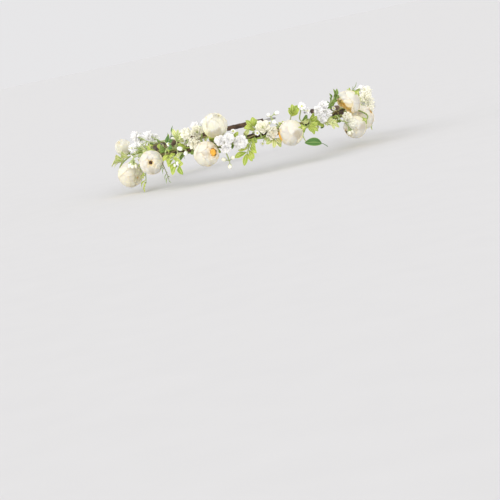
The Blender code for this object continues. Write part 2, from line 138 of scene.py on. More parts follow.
# name, finish, cluster, bound at, tip, leaf pairs along the stem, leaf length and width in millimetres
SPRIGS = [
    ("leaf_sprig_01", "green", "right_rear", 18, (30, 12, -12), 2, 10, 4.5),
    ("leaf_sprig_02", "pale", "right_front", -27, (-14, 29, -4), 1, 11, 5.5),
    ("leaf_sprig_03", "green", "right_front", 8, (13, 12, -28), 2, 8, 3),
    ("leaf_sprig_04", "dark", "front_right", -11, (2, 7, 9.5), 1, 9, 4),
    ("leaf_sprig_05", "pale", "front_right", 2, (10, 8.3, 16), 2, 8, 3.6),
    ("leaf_sprig_06", "green", "front_right", -6, (6, 9, -17), 2, 9, 4.4),
    ("leaf_sprig_07", "green", "front_left", 0, (-8, 7, 13), 2, 8, 4),
    ("leaf_sprig_08", "green", "front_left", -6, (-16, 9, -19), 3, 10, 4),
    ("leaf_sprig_09", "pale", "front_left", 13, (7, 8, -11), 1, 8, 4),
    ("leaf_sprig_10", "dark", "left_front", 0, (14, 14, -18), 0, 17, 6),
    ("leaf_sprig_11", "green", "left_front", -4.5, (-3.5, 8, 17), 1, 8, 5),
    ("leaf_sprig_12", "green", "left_front", 4, (13, 10, -7), 1, 8, 4),
    ("leaf_sprig_13", "pale", "left_side", -38, (-25, 13, -8), 2, 8, 4.4),
    ("leaf_sprig_14", "moss", "left_side", -22, (-12, 9, 20), 2, 7, 3.4),
    ("leaf_sprig_15", "green", "left_side", 30, (26, 16, -19), 2, 8, 4),
    ("leaf_sprig_16", "green", "left_rear", 27, (33, 10, 13), 2, 9, 4.2),
]


# ---- places


def beside_band(angle, out=0.0, up=0.0):
    """The point at this angle, this far outside the band's centreline and above it."""
    turn = math.radians(angle)
    return Vector(((BAND_HALF_WIDTH + out) * math.sin(turn), -(BAND_HALF_DEPTH + out) * math.cos(turn), up))


def band_tangent(angle):
    turn = math.radians(angle)
    return Vector((BAND_HALF_WIDTH * math.cos(turn), BAND_HALF_DEPTH * math.sin(turn), 0)).normalized()


def outward(angle):
    return band_tangent(angle).cross(Z_AXIS)


def facing(angle, elevation):
    turn, lift = math.radians(angle), math.radians(elevation)
    return Vector((math.sin(turn) * math.cos(lift), -math.cos(turn) * math.cos(lift), math.sin(lift)))


def angle_step(length, angle):
    """How many degrees of the band this length covers at this angle."""
    turn = math.radians(angle)
    run = math.hypot(BAND_HALF_WIDTH * math.cos(turn), BAND_HALF_DEPTH * math.sin(turn))
    return math.degrees(length / run)


def station(cluster, along):
    return CLUSTERS[cluster] + angle_step(along * MM, CLUSTERS[cluster])


def placed(cluster, place):
    along, out, up = place
    return beside_band(station(cluster, along), out * MM, up * MM)


def frame_along(direction, up):
    """A rotation whose Y is the direction and whose Z leans towards up."""
    along = direction.normalized()
    side = along.cross(up)
    if side.length < 1e-4:
        side = along.orthogonal()
    side.normalize()
    return Matrix((side, along, side.cross(along))).transposed()


def frame_facing(axis):
    return axis.to_track_quat("Z", "Y").to_matrix()


def unit_grid(rows, cols):
    """A sheet's share along, from 0 to 1 down its rows, and across, from -1 to 1."""
    return np.linspace(0, 1, rows)[:, None], np.linspace(-1, 1, cols)[None, :]


def moved(grid, turn, spot):
    """A grid of points in the turn's own frame, brought to its place."""
    return grid @ np.array(turn).T + np.array(spot)


def wrap(bound_at, towards, radius=STEM_RADIUS, step=15.0):
    """The stem's turn round the band, which ends on the side that faces where the stem goes."""
    reach = towards - beside_band(bound_at)
    side = math.degrees(math.atan2(reach.z, reach.dot(outward(bound_at))))
    away = BAND_RADIUS + CLEARANCE + radius
    way = 1 if reach.dot(band_tangent(bound_at)) > 0 else -1
    spots = []
    count = round(WRAP_TURN / step)
    for i in range(count + 1):
        turn = WRAP_TURN * (1 - i / count)
        angle = math.radians(side - turn)
        along = bound_at - way * angle_step(WRAP_LENGTH * turn / WRAP_TURN, bound_at)
        spots.append(beside_band(along, away * math.cos(angle), away * math.sin(angle)))
    return spots


def stem_path(bound_at, end, end_direction, steps=16):
    """Round the band, then in one smooth bend to the end. Gives the turn and the bend apart."""
    spots = wrap(bound_at, end)
    leaving = (spots[-1] - spots[-2]).normalized()
    pull = STEM_PULL * (end - spots[-1]).length
    bend = interpolate_bezier(spots[-1], spots[-1] + leaving * pull, end - end_direction * pull, end, steps)
    return spots[:-1], bend


# ---- pieces


def in_scene(name, data):
    obj = bpy.data.objects.new(name, data)
    bpy.context.scene.collection.objects.link(obj)
    return obj


SHEET_RIM = 0.35  # a sheet's thickness at its rim, as a share of its middle's


class Piece:
    """Collects surfaces into one mesh. Each point carries a look of four numbers that the materials read."""

    def __init__(self):
        self.points, self.looks, self.faces, self.slots = [], [], [], []
        self.count = 0

    def add(self, points, looks, faces, slot):
        self.points.append(np.asarray(points, float))
        self.looks.append(np.asarray(looks, float))
        self.faces += [tuple(self.count + i for i in face) for face in faces]
        self.slots += [slot] * len(faces)
        self.count += len(points)

    def sheet(self, grid, thickness, slot, seed=0.0, warm=0.0):
        """A thin closed sheet along a grid of points, rows going from its base to its tip."""
        rows, cols = grid.shape[:2]
        across = np.gradient(grid, axis=1)
        along = np.gradient(grid, axis=0)
        normals = np.cross(across, along)
        normals /= np.maximum(np.linalg.norm(normals, axis=2, keepdims=True), 1e-12)
        fade = np.ones((rows, cols, 1))
        fade[:, [0, -1]] = fade[-1] = SHEET_RIM
        top = grid + normals * thickness / 2 * fade
        under = grid - normals * thickness / 2 * fade
        v, u = np.meshgrid(np.linspace(0, 1, rows), np.linspace(0, 1, cols), indexing="ij")
        look = np.stack([v, u, np.full_like(v, seed), np.broadcast_to(warm, v.shape)], -1)
        size = rows * cols
        faces = []
        for r in range(rows - 1):
            for c in range(cols - 1):
                a, b = r * cols + c, r * cols + c + 1
                faces.append((a, b, b + cols, a + cols))
                faces.append((size + a, size + a + cols, size + b + cols, size + b))
        rim = list(range(cols))
        rim += [r * cols + cols - 1 for r in range(1, rows)]
        rim += [(rows - 1) * cols + c for c in range(cols - 2, -1, -1)]
        rim += [r * cols for r in range(rows - 2, 0, -1)]
        for a, b in zip(rim, rim[1:] + rim[:1]):
            faces.append((b, a, size + a, size + b))
        points = np.concatenate([top.reshape(-1, 3), under.reshape(-1, 3)])
        looks = np.concatenate([look.reshape(-1, 4)] * 2)
        self.add(points, looks, faces, slot)

    def tube(self, path, radii, slot, sides=10, seed=0.0, swell=None):
        """A round bar along the path, closed at both ends. swell(share, turn) scales its radius."""
        path = np.array([tuple(p) for p in path])
        radii = np.broadcast_to(radii, len(path))
        tangents = np.gradient(path, axis=0)
        tangents /= np.linalg.norm(tangents, axis=1, keepdims=True)
        side = np.cross(tangents[0], (0.3, 0.2, 0.9))
        side /= np.linalg.norm(side)
        run = np.concatenate([[0], np.cumsum(np.linalg.norm(np.diff(path, axis=0), axis=1))])
        turns = np.arange(sides) * math.tau / sides
        points, looks = [path[0]], [(0, 0.5, seed, 0)]
        for i, (spot, tangent) in enumerate(zip(path, tangents)):
            side = side - tangent * side.dot(tangent)
            side /= np.linalg.norm(side)
            other = np.cross(tangent, side)
            share = run[i] / run[-1]
            for turn in turns:
                reach = radii[i] * (swell(run[i], turn) if swell else 1.0)
                points.append(spot + reach * (side * math.cos(turn) + other * math.sin(turn)))
                looks.append((share, turn / math.tau, seed, run[i] / 0.01))
        points.append(path[-1])
        looks.append((1, 0.5, seed, run[-1] / 0.01))
        faces = []
        last = len(points) - 1
        for k in range(sides):
            n = (k + 1) % sides
            faces.append((0, 1 + n, 1 + k))
            faces.append((last, last - sides + k, last - sides + n))
            for i in range(len(path) - 1):
                a, b = 1 + i * sides, 1 + (i + 1) * sides
                faces.append((a + k, a + n, b + n, b + k))
        self.add(points, looks, faces, slot)

    def lathe(self, centre, turn, profile, slot, sides=12, seed=0.0, ribs=0, rib_depth=0.0):
        """A turned body round the local Z. The profile is (radius, height) from its bottom to its top."""
        points, looks = [], []
        for i, (reach, height) in enumerate(profile):
            for k in range(sides):
                angle = math.tau * k / sides
                wide = reach * (1 + rib_depth * math.cos(ribs * angle))
                local = Vector((wide * math.cos(angle), wide * math.sin(angle), height))
                points.append(tuple(centre + turn @ local))
                looks.append((i / (len(profile) - 1), k / sides, seed, 0))
        faces = [tuple(reversed(range(sides)))]
        for i in range(len(profile) - 1):
            for k in range(sides):
                n = (k + 1) % sides
                faces.append((i * sides + k, i * sides + n, (i + 1) * sides + n, (i + 1) * sides + k))
        faces.append(tuple((len(profile) - 1) * sides + k for k in range(sides)))
        self.add(points, looks, faces, slot)

    def build(self, name, materials):
        mesh = bpy.data.meshes.new(name)
        mesh.from_pydata(np.concatenate(self.points).tolist(), [], self.faces)
        look = mesh.attributes.new("look", "FLOAT_COLOR", "POINT")
        look.data.foreach_set("color", np.concatenate(self.looks).astype(np.float32).ravel())
        for material in materials:
            mesh.materials.append(material)
        mesh.polygons.foreach_set("material_index", self.slots)
        mesh.shade_smooth()
        mesh.update()
        return in_scene(name, mesh)


# ---- materials


class Nodes:
    """A material's node tree, with short calls for the nodes that these materials share."""

    def __init__(self, name):
        self.material = bpy.data.materials.new(name)
        self.material.use_nodes = True
        self.tree = self.material.node_tree
        self.shader = self.tree.nodes["Principled BSDF"]

    def new(self, kind, **values):
        node = self.tree.nodes.new(kind)
        for key, value in values.items():
            setattr(node, key, value)
        return node

    def link(self, source, target):
        self.tree.links.new(source, target)

    def look(self):
        """The four numbers of the look attribute: share along, share across, seed, and warmth or run."""
        attribute = self.new("ShaderNodeAttribute", attribute_name="look")
        split = self.new("ShaderNodeSeparateColor")
        self.link(attribute.outputs["Color"], split.inputs["Color"])
        return split.outputs[0], split.outputs[1], split.outputs[2], attribute.outputs["Alpha"]

    def feed(self, socket, value):
        """Sets the socket to a number or a tuple, or links another node's output to it."""
        if isinstance(value, (int, float, tuple)):
            socket.default_value = value
        else:
            self.link(value, socket)

    def maths(self, operation, *values):
        node = self.new("ShaderNodeMath", operation=operation)
        for i, value in enumerate(values):
            self.feed(node.inputs[i], value)
        return node.outputs[0]

    def span(self, value, low, high, out_low=0.0, out_high=1.0):
        node = self.new("ShaderNodeMapRange", interpolation_type="SMOOTHSTEP")
        self.link(value, node.inputs["Value"])
        for key, number in zip(("From Min", "From Max", "To Min", "To Max"), (low, high, out_low, out_high)):
            node.inputs[key].default_value = number
        return node.outputs["Result"]

    def mixed(self, share, first, second):
        node = self.new("ShaderNodeMix", data_type="RGBA")
        self.feed(node.inputs[0], share)
        for value, socket in ((first, node.inputs[6]), (second, node.inputs[7])):
            self.feed(socket, (*value, 1) if isinstance(value, tuple) else value)
        return node.outputs[2]

    def point(self, x, y, z):
        node = self.new("ShaderNodeCombineXYZ")
        for i, value in enumerate((x, y, z)):
            self.feed(node.inputs[i], value)
        return node.outputs[0]

    def noise(self, place, scale, detail=3.0, roughness=0.5):
        node = self.new("ShaderNodeTexNoise")
        node.inputs["Scale"].default_value = scale
        node.inputs["Detail"].default_value = detail
        node.inputs["Roughness"].default_value = roughness
        self.link(place, node.inputs["Vector"])
        return node.outputs["Fac"]

    def object_place(self):
        return self.new("ShaderNodeTexCoord").outputs["Object"]

    def streaks(self, along, across, seed, scale, detail, roughness=0.5):
        """Noise stretched along a piece. along and across are each a look and its scale."""
        spot = self.point(self.maths("MULTIPLY", *along), self.maths("MULTIPLY", *across), seed)
        return self.noise(spot, scale, detail, roughness)

    def bump(self, height, strength, distance):
        node = self.new("ShaderNodeBump")
        node.inputs["Strength"].default_value = strength
        node.inputs["Distance"].default_value = distance
        self.link(height, node.inputs["Height"])
        self.link(node.outputs["Normal"], self.shader.inputs["Normal"])

    def set(self, **values):
        """Feeds the shader's own sockets, whose names have spaces here."""
        for key, value in values.items():
            self.feed(self.shader.inputs[key.replace("_", " ")], value)

    def glow(self, weight, radius, scale, specular):
        """The light that comes through thin cloth or plastic, and the shine on it."""
        self.set(Subsurface_Weight=weight, Subsurface_Radius=radius, Subsurface_Scale=scale)
        self.set(Specular_IOR_Level=specular)


def petal_material(name, base, tip, warm):
    """Pressed cloth: a tint that grows from the petal's base to its tip, with fine lengthwise veins."""
    nodes = Nodes(name)
    along, across, seed, warmth = nodes.look()
    veins = nodes.streaks((along, 1.6), (across, 16.0), seed, 3.0, 4.0, 0.55)
    cloth = nodes.noise(nodes.object_place(), 900.0, 4.0, 0.6)
    patches = nodes.noise(nodes.object_place(), 130.0, 2.0)
    colour = nodes.mixed(nodes.span(along, 0.05, 0.85), base, tip)
    shade = tuple(0.95 * c for c in tip)
    colour = nodes.mixed(nodes.span(veins, 0.35, 0.75, 0.0, 0.35), colour, shade)
    colour = nodes.mixed(nodes.span(patches, 0.45, 0.8, 0.0, 0.3), colour, base)
    colour = nodes.mixed(warmth, colour, warm)
    height = nodes.maths("ADD", nodes.maths("MULTIPLY", veins, 0.8), nodes.maths("MULTIPLY", cloth, 0.25))
    nodes.bump(height, 0.35, 0.0003)
    nodes.set(Base_Color=colour, Roughness=nodes.span(cloth, 0.3, 0.7, 0.55, 0.72))
    nodes.set(Sheen_Weight=0.12)
    nodes.glow(0.5, (1.0, 0.75, 0.45), 0.0025, 0.25)
    return nodes.material


def centre_material(name, light, dark):
    """The foam heart of a bloom, speckled like pollen."""
    nodes = Nodes(name)
    along = nodes.look()[0]
    grains = nodes.noise(nodes.object_place(), 1500.0, 3.0, 0.6)
    colour = nodes.mixed(nodes.span(grains, 0.35, 0.65), dark, light)
    nodes.bump(grains, 0.5, 0.0003)
    nodes.set(Base_Color=colour, Roughness=nodes.span(along, 0.0, 1.0, 0.8, 0.6))
    return nodes.material


def leaf_material(name, dark, light, edge, edge_width):
    """A moulded leaf: a pale midrib, side veins that slope to the tip, and a margin of its own colour."""
    nodes = Nodes(name)
    along, across, seed = nodes.look()[:3]
    middle = nodes.maths("ABSOLUTE", nodes.maths("MULTIPLY_ADD", across, 2.0, -1.0))
    slope = nodes.maths("SUBTRACT", nodes.maths("MULTIPLY", along, 9.0), nodes.maths("MULTIPLY", middle, 2.6))
    veins = nodes.maths("PINGPONG", slope, 0.5)
    patches = nodes.noise(nodes.object_place(), 220.0, 3.0)
    grain = nodes.noise(nodes.object_place(), 1400.0, 3.0)
    colour = nodes.mixed(nodes.span(patches, 0.3, 0.7), dark, light)
    colour = nodes.mixed(nodes.span(seed, 0.0, 1.0, 0.0, 0.45), colour, light)
    colour = nodes.mixed(nodes.span(veins, 0.0, 0.12, 0.4, 0.0), colour, edge)
    colour = nodes.mixed(nodes.span(middle, 0.04, 0.16, 0.75, 0.0), colour, edge)
    colour = nodes.mixed(nodes.span(middle, 1.0 - edge_width, 1.0, 0.0, 0.9), colour, edge)
    height = nodes.maths("ADD", nodes.span(veins, 0.0, 0.16), nodes.maths("MULTIPLY", grain, 0.3))
    height = nodes.maths("ADD", height, nodes.span(middle, 0.0, 0.15))
    nodes.bump(height, 0.4, 0.00025)
    nodes.set(Base_Color=colour, Roughness=nodes.span(grain, 0.3, 0.7, 0.42, 0.6))
    nodes.glow(0.15, (0.6, 1.0, 0.3), 0.0015, 0.35)
    return nodes.material


def floret_material(name, petal, heart, shade):
    """A small moulded petal, tinted at its root."""
    nodes = Nodes(name)
    along, across, seed = nodes.look()[:3]
    patches = nodes.noise(nodes.object_place(), 500.0, 3.0)
    veins = nodes.streaks((along, 1.2), (across, 9.0), seed, 3.0, 3.0)
    colour = nodes.mixed(nodes.span(along, 0.0, 0.5), heart, petal)
    colour = nodes.mixed(nodes.span(patches, 0.4, 0.8, 0.0, 0.6), colour, shade)
    nodes.bump(veins, 0.35, 0.0002)
    nodes.set(Base_Color=colour, Roughness=nodes.span(patches, 0.3, 0.7, 0.5, 0.65))
    nodes.glow(0.5, (1.0, 1.0, 0.9), 0.0007, 0.3)
    return nodes.material


def stem_material(name, dark, light):
    """A wire stem in stretched tape: streaks along it and a slight waxy shine."""
    nodes = Nodes(name)
    across, seed, run = nodes.look()[1:]
    streaks = nodes.streaks((run, 1.5), (across, 5.0), seed, 3.0, 4.0)
    colour = nodes.mixed(nodes.span(streaks, 0.3, 0.7), dark, light)
    nodes.bump(streaks, 0.5, 0.0002)
    nodes.set(Base_Color=colour, Roughness=nodes.span(streaks, 0.3, 0.7, 0.5, 0.75))
    return nodes.material


def tape_material(name, dark, light):
    """Crepe floral tape: crinkles across each turn, and paler on the crinkles' crests, where their bump rises
    highest.
    """
    nodes = Nodes(name)
    across, seed, run = nodes.look()[1:]
    crinkles = nodes.streaks((run, 26.0), (across, 5.0), seed, 1.0, 4.0, 0.6)
    patches = nodes.noise(nodes.object_place(), 160.0, 3.0)
    fibres = nodes.noise(nodes.object_place(), 2400.0, 2.0)
    colour = nodes.mixed(nodes.span(patches, 0.35, 0.7), dark, light)
    # paler where the crinkle noise is high, the same noise that raises the bump
    colour = nodes.mixed(nodes.span(crinkles, 0.55, 0.75, 0.0, 0.5), colour, light)
    height = nodes.maths("ADD", crinkles, nodes.maths("MULTIPLY", fibres, 0.4))
    nodes.bump(height, 0.7, 0.0004)
    nodes.set(Base_Color=colour, Roughness=nodes.span(fibres, 0.3, 0.7, 0.75, 0.95))
    nodes.set(Sheen_Weight=0.1)
    return nodes.material


def wire_material(name):
    """Bare annealed wire, slightly dulled."""
    nodes = Nodes(name)
    scratches = nodes.noise(nodes.object_place(), 1800.0, 3.0)
    nodes.set(
        Base_Color=nodes.mixed(nodes.span(scratches, 0.3, 0.7), (0.28, 0.27, 0.25), (0.42, 0.41, 0.39)),
        Roughness=nodes.span(scratches, 0.3, 0.7, 0.32, 0.55),
    )
    nodes.set(Metallic=1.0)
    nodes.bump(scratches, 0.2, 0.0001)
    return nodes.material


PETALS = {
    "ivory": petal_material("petal_ivory", (0.93, 0.79, 0.47), (0.97, 0.86, 0.66), (0.98, 0.62, 0.14)),
    "lemon": petal_material("petal_lemon", (0.92, 0.84, 0.38), (0.98, 0.89, 0.66), (0.92, 0.78, 0.26)),
    "peach": petal_material("petal_peach", (0.97, 0.78, 0.44), (0.99, 0.865, 0.63), (0.98, 0.70, 0.34)),
}
CENTRES = {
    "golden": centre_material("centre_golden", (0.97, 0.62, 0.11), (0.88, 0.42, 0.04)),
    "dark": centre_material("centre_dark", (0.12, 0.05, 0.015), (0.03, 0.012, 0.005)),
}
LEAVES = {
    "green": leaf_material("leaf_green", (0.22, 0.34, 0.035), (0.46, 0.55, 0.09), (0.72, 0.74, 0.28), 0.2),
    "pale": leaf_material("leaf_pale", (0.34, 0.45, 0.10), (0.60, 0.66, 0.25), (0.88, 0.84, 0.58), 0.36),
    "dark": leaf_material("leaf_dark", (0.03, 0.10, 0.02), (0.08, 0.20, 0.04), (0.30, 0.42, 0.13), 0.22),
    "moss": leaf_material("leaf_moss", (0.10, 0.18, 0.03), (0.20, 0.30, 0.06), (0.36, 0.44, 0.16), 0.16),
}
FLORET_PETALS = {
    "white": floret_material("floret_white", (0.965, 0.955, 0.94), (0.92, 0.92, 0.80), (0.935, 0.94, 0.945)),
    "pale": floret_material("floret_pale", (0.97, 0.95, 0.80), (0.80, 0.86, 0.50), (0.93, 0.93, 0.71)),
}
FLORET_HEART = centre_material("floret_heart", (0.70, 0.68, 0.18), (0.45, 0.52, 0.12))
STEM = stem_material("stem_green", (0.16, 0.23, 0.05), (0.33, 0.38, 0.10))
PALE_STEM = stem_material("stem_pale", (0.36, 0.46, 0.16), (0.55, 0.60, 0.30))
FRESH_STEM = stem_material("stem_fresh", (0.26, 0.38, 0.05), (0.46, 0.58, 0.12))
TWIG = stem_material("stem_olive", (0.13, 0.10, 0.035), (0.27, 0.23, 0.08))
TAPE = tape_material("floral_tape", (0.035, 0.017, 0.008), (0.13, 0.075, 0.035))
WIRE = wire_material("core_wire")


# ---- band, tails

TAPE_PITCH = 0.0055
TAPE_RIDGE = 0.11
BAND_POINTS_PER_DEGREE = 1.6


def tape_swell(run, turn):
    """The wound tape's radius: it rises over each turn and drops at the tape's edge."""
    phase = (run / TAPE_PITCH + turn / math.tau) % 1.0
    rise = 1.0 - TAPE_RIDGE + TAPE_RIDGE * min(1.0, phase / 0.86)
    drop = max(0.0, (phase - 0.86) / 0.14)
    return rise - TAPE_RIDGE * drop


def make_band(side_name, side):
    """One half of the taped band, from the crown's front to the end of its tail."""
    count = round(TAIL_END_ANGLE * BAND_POINTS_PER_DEGREE * 2)
    path = [beside_band(side * TAIL_END_ANGLE * i / count) for i in range(count + 1)]
    piece = Piece()
    piece.tube(path, BAND_RADIUS, 0, sides=20, seed=0.5, swell=tape_swell)
    band = piece.build(f"band_{side_name}", [TAPE])
    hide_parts("tape_wrap_front", "core_wire_front", f"tape_wrap_{side_name}_tail")
    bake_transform(band)


def make_eye(side_name, side):
    """The tail's wire, bent round into an eye that lies flat, with its cut end rounded."""
    neck = TAIL_END_ANGLE + angle_step(EYE_NECK, TAIL_END_ANGLE)
    path = [beside_band(side * angle) for angle in (TAIL_END_ANGLE - 1, TAIL_END_ANGLE, neck)]
    along, out = side * band_tangent(side * neck), outward(side * neck)
    bend = EYE_RADIUS + CORE_WIRE_RADIUS
    middle = path[-1] + out * bend
    steps = 48
    for step in range(1, steps + 1):
        turn = math.radians(EYE_TURN * step / steps)
        path.append(middle + bend * (along * math.sin(turn) - out * math.cos(turn)))
    piece = Piece()
    piece.tube(path, [CORE_WIRE_RADIUS] * (len(path) - 1) + [CORE_WIRE_RADIUS * 0.6], 0, sides=12)
    eye = piece.build(f"eye_{side_name}", [WIRE])
    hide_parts(f"core_wire_{side_name}_tail")
    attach(eye, f"{side_name}_tail")


# ---- blooms

PETAL_THICKNESS = 0.00032
PETAL_START = 0.16  # the angle from the calyx at which a petal starts, in radians
SEPAL_THICKNESS = 0.00035
SEPAL_COUNT = 5
GOLDEN_ANGLE = math.radians(137.5)

# Each layer's share of the bloom's radius, petals, first petal's angle, rims' angle as a share of the
# opening's and what is added to that, half width and warmth. The angles are in radians.
BALL_LAYERS = (
    (0.995, 3, 0.2, 1.0, 1.05, 1.0, 0.0),
    (0.975, 3, 1.3, 1.0, 0.68, 0.98, 0.0),
    (0.955, 4, 0.7, 1.0, 0.38, 0.86, 0.0),
    (0.935, 4, 1.5, 1.0, 0.16, 0.8, 0.06),
    (0.913, 5, 0.3, 1.0, 0.05, 0.7, 0.25),
    (0.885, 5, 0.9, 1.0, 0.0, 0.6, 0.8),
)
CUP_LAYERS = (
    (0.995, 3, 0.2, 1.0, 0.62, 0.98, 0.0),
    (0.975, 4, 0.9, 1.0, 0.26, 0.86, 0.0),
    (0.95, 5, 0.5, 1.0, 0.05, 0.74, 0.1),
    (0.9, 5, 0.1, 1.0, 0.0, 0.7, 0.5),
    (0.82, 5, 0.4, 1.02, 0.0, 0.7, 0.8),
    (0.73, 5, 0.8, 1.0, 0.0, 0.66, 0.9),
    (0.63, 5, 1.2, 0.95, 0.0, 0.64, 0.95),
    (0.52, 5, 1.6, 0.9, 0.0, 0.64, 1.0),
)
LOOSE_RIM = 0.3  # rims further than this from the opening stand off the ball
LOOSE_FLARE = 0.02

# each kind's layers, flare of the rims that don't stand off, and the shape of all its petals
BLOOM_KINDS = {
    "ball": (BALL_LAYERS, 0.004, {"tilt": 0.016, "ruffle": 0.006, "rows": 17, "cols": 17}),
    "bud": (BALL_LAYERS, 0.004, {"tilt": 0.016, "ruffle": 0.006, "rows": 17, "cols": 17}),
    "cup": (CUP_LAYERS, 0.02, {"tilt": 0.02, "ruffle": 0.014, "rows": 14, "cols": 15}),
}


def wrapped_petal(
    radius, azimuth, start, end, half_width, tilt=0.03, flare=0.0, ruffle=0.0, phase=0.0,
    rows=15, cols=13, point=0.0,
):
    """A petal that hugs a ball. start and end are angles from the calyx to the petal's rim, in radians."""
    v, u = unit_grid(rows, cols)
    below = 0.42 + 0.58 * np.sin(math.pi / 2 * v / 0.55)
    width = np.where(v < 0.55, below, 1 - 0.22 * ((v - 0.55) / 0.45) ** 2)
    rim = 0.26 * np.abs(u) ** 2.4 - point * np.maximum(0, 1 - np.abs(u) * 3)
    along = start + (end - start) * v * (1 - rim * v)
    aside = half_width * width * u
    reach = 1 + tilt * u * np.sin(math.pi * np.minimum(v, 0.9)) + flare * v**4 * (0.4 + 0.6 * u**2)
    reach = reach + ruffle * np.sin(2.3 * math.pi * u + phase) * v**4
    reach = radius * reach
    round_x, round_y = math.cos(azimuth), math.sin(azimuth)
    middle = np.stack([round_x * np.sin(along), round_y * np.sin(along), -np.cos(along)], -1)
    east = np.array([-math.sin(azimuth), math.cos(azimuth), 0.0])
    return reach[..., None] * (np.cos(aside)[..., None] * middle + np.sin(aside)[..., None] * east)


def whorl(piece, centre, turn, radius, count, first, tip, half_width, warm, rng, **shape):
    """A ring of petals. tip is the angle between the bloom's axis and the petals' rims, in radians."""
    for i in range(count):
        azimuth = first + math.tau * (i + 0.12 * (rng.random() - 0.5)) / count
        end = math.pi - tip * (1 + 0.12 * (rng.random() - 0.5))
        size = radius * (1 + 0.012 * (rng.random() - 0.5))
        phase = math.tau * rng.random()
        grid = wrapped_petal(size, azimuth, PETAL_START, end, half_width, phase=phase, **shape)
        rotated = moved(grid, turn, centre)
        rows = grid.shape[0]
        tint = warm * np.linspace(0, 1, rows)[:, None] ** 2 * np.ones((1, grid.shape[1]))
        piece.sheet(rotated, PETAL_THICKNESS, 0, seed=rng.random(), warm=tint)


def layered_petals(kind, piece, centre, turn, radius, opening, rng):
    """Broad petals in layers, each layer's rims nearer the opening. A cup's inner layers lie deep in it."""
    half = math.radians(opening)
    layers, tight_flare, shape = BLOOM_KINDS[kind]
    for share, count, first, scale, beyond, half_width, warm in layers:
        flare = LOOSE_FLARE if beyond > LOOSE_RIM else tight_flare
        tip = half * scale + beyond
        size = radius * share
        whorl(piece, centre, turn, size, count, first, tip, half_width, warm, rng, flare=flare, **shape)


def make_stamens(piece, centre, turn, reach, height, rng, knobs=34):
    """The golden or dark heart: knobs packed in a spiral on a low dome."""
    arc = np.linspace(0.05, 1.5, 6)
    dome = [(reach * math.cos(t), height - 0.5 * reach + 0.5 * reach * math.sin(t)) for t in arc]
    base = [(reach * 0.96, height - reach), (reach, height - 0.6 * reach)]
    piece.lathe(centre, turn, base + dome, 1, sides=20)
    for i in range(knobs):
        share = (i + 0.5) / knobs
        angle = i * GOLDEN_ANGLE
        away = reach * 0.95 * math.sqrt(share)
        top = height - 0.5 * reach + 0.5 * reach * math.sqrt(max(0.0, 1 - (away / reach) ** 2))
        spot = centre + turn @ Vector((away * math.cos(angle), away * math.sin(angle), top))
        size = reach * 0.13 * (0.8 + 0.4 * rng.random())
        ball = [(size * math.cos(t), size * math.sin(t)) for t in np.linspace(-1.3, 1.3, 5)]
        piece.lathe(spot, turn, ball, 1, sides=7)


def make_bloom(index, spec):
    name, cluster, bound, place, radius, opening, faces, kind, petals, heart = spec
    rng = np.random.default_rng(100 + index)
    centre, axis, radius = placed(cluster, place), facing(*faces), radius * MM
    turn = frame_facing(axis)
    head = Piece()
    layered_petals(kind, head, centre, turn, radius, opening, rng)
    if kind == "cup":
        make_stamens(head, centre, turn, radius * 0.36, radius * 0.3, rng)
    else:
        half = math.radians(opening)
        reach = max(radius * 0.96 * math.sin(half), 0.0008)
        make_stamens(head, centre, turn, reach, radius * 0.82 * math.cos(half) + 0.3 * reach, rng, 30)
    bloom = head.build(f"{name}_head", [PETALS[petals], CENTRES[heart]])
    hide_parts(f"{name}_petals")
    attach(bloom, "front")
    make_bloom_stem(name, station(cluster, bound), centre, axis, turn, radius)


def make_bloom_stem(name, bound_at, centre, axis, turn, radius):
    """The stem from the band to the bloom, with its swollen receptacle and five sepals."""
    base = radius + CLEARANCE + CALYX_HEIGHT
    turns, bend = stem_path(bound_at, centre - axis * base, axis)
    piece = Piece()
    path = turns + bend
    piece.tube(path, STEM_RADIUS, 0, sides=10, seed=0.3)
    profile = [(STEM_RADIUS, -base - 0.0004), (0.0011, -base + 0.0003), (0.0021, -base + 0.0011)]
    profile += [(0.0030, -base + 0.0019), (0.0034, -radius - 0.0001), (0.0022, -radius + 0.0012)]
    piece.lathe(centre, turn, profile, 1, sides=16, ribs=8, rib_depth=0.05)
    for k in range(SEPAL_COUNT):
        azimuth = math.tau * k / SEPAL_COUNT + 0.3
        grid = wrapped_petal(
            radius * 1.012, azimuth, 0.2, 0.82, 0.17, tilt=0.0, flare=0.06, rows=8, cols=7, point=0.1
        )
        tips = np.linspace(1, 0, 8)[:, None, None] ** 0.7
        spine = grid[:, 3:4, :]
        grid = spine + (grid - spine) * (0.15 + 0.85 * tips)
        piece.sheet(moved(grid, turn, centre), SEPAL_THICKNESS, 1, seed=k / SEPAL_COUNT)
    stem = piece.build(f"{name}_calyx", [STEM, LEAVES["green"]])
    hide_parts(f"{name}_stem")
    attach(stem, "front")


# ---- florets


FLORET_PETAL_THICKNESS = 0.00022
HEART_LIFT = 0.0002
BUD_STRETCH = 1.7


def small_petal(length, width, cup, notch, ruffle, phase, rows=7, cols=7):
    """A rounded petal in its own frame: Y runs out from the flower's middle and Z up its axis."""
    v, u = unit_grid(rows, cols)
    half = width / 2 * (0.25 + 0.75 * np.sin(math.pi * np.minimum(1, 0.12 + 0.72 * v)) ** 0.9)
    y = length * v * (1 - 0.16 * u**2 * v - notch * np.exp(-((u / 0.25) ** 2)) * v**3)
    z = cup * length * v**1.6 + 0.10 * length * u**2 * v + ruffle * length * np.sin(2.6 * u + phase) * v**2
    return np.stack([half * u * np.ones_like(v), y * np.ones_like(u), z * np.ones_like(u + v)], -1)


